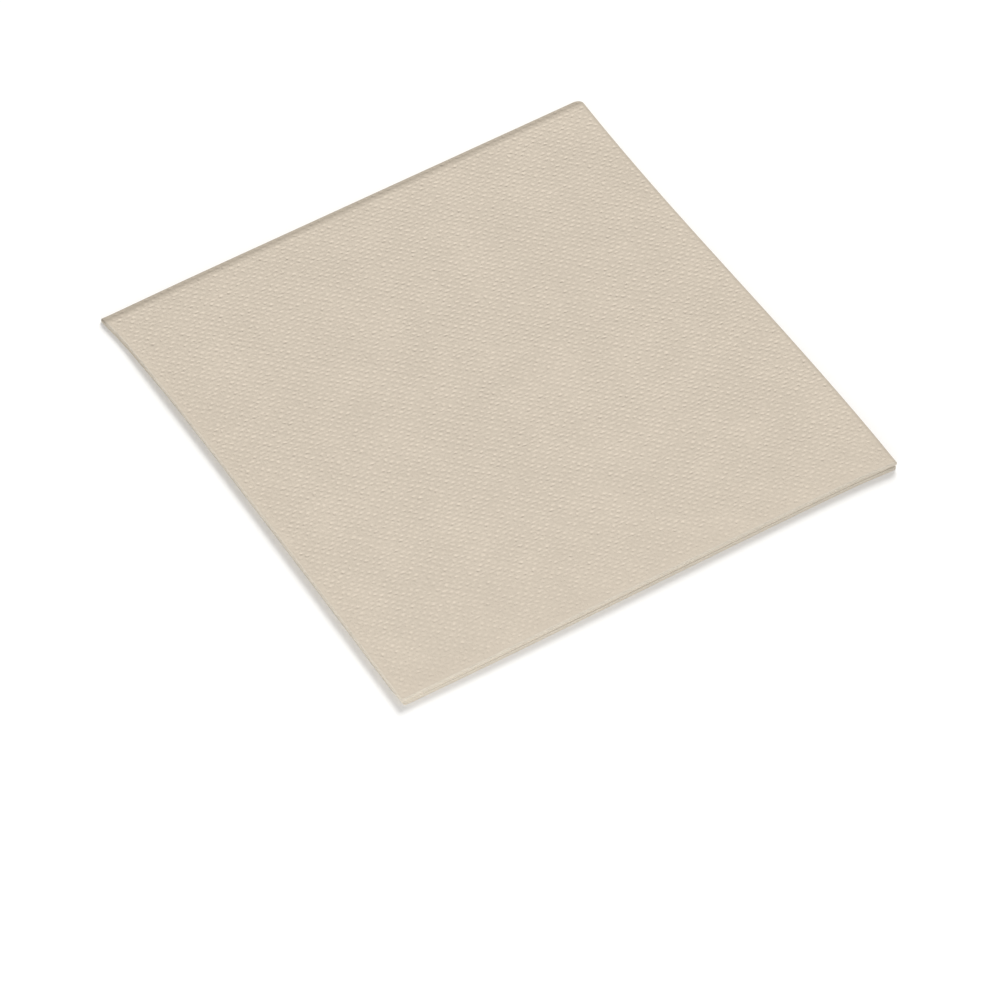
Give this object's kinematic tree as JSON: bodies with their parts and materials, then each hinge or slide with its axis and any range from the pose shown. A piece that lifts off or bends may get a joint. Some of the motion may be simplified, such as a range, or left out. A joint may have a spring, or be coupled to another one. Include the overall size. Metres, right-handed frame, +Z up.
{
  "type": "paper napkin",
  "caption": "Square beige tissue napkin with an all-over embossed dot texture, folded in quarters and lying flat.",
  "frame": {"origin": "centre of the underside, on the table", "axes": "+Z up through the leaves; +X towards the first fold, which closes each pair of leaves; +Y towards the second fold, which wraps both pairs"},
  "size_m": [0.1652, 0.1652, 0.002],
  "materials": {
    "embossed_tissue": "matt, creped and embossed tissue"
  },
  "bodies": {
    "root": {"folded_napkin": "embossed_tissue"}
  },
  "joints": []
}
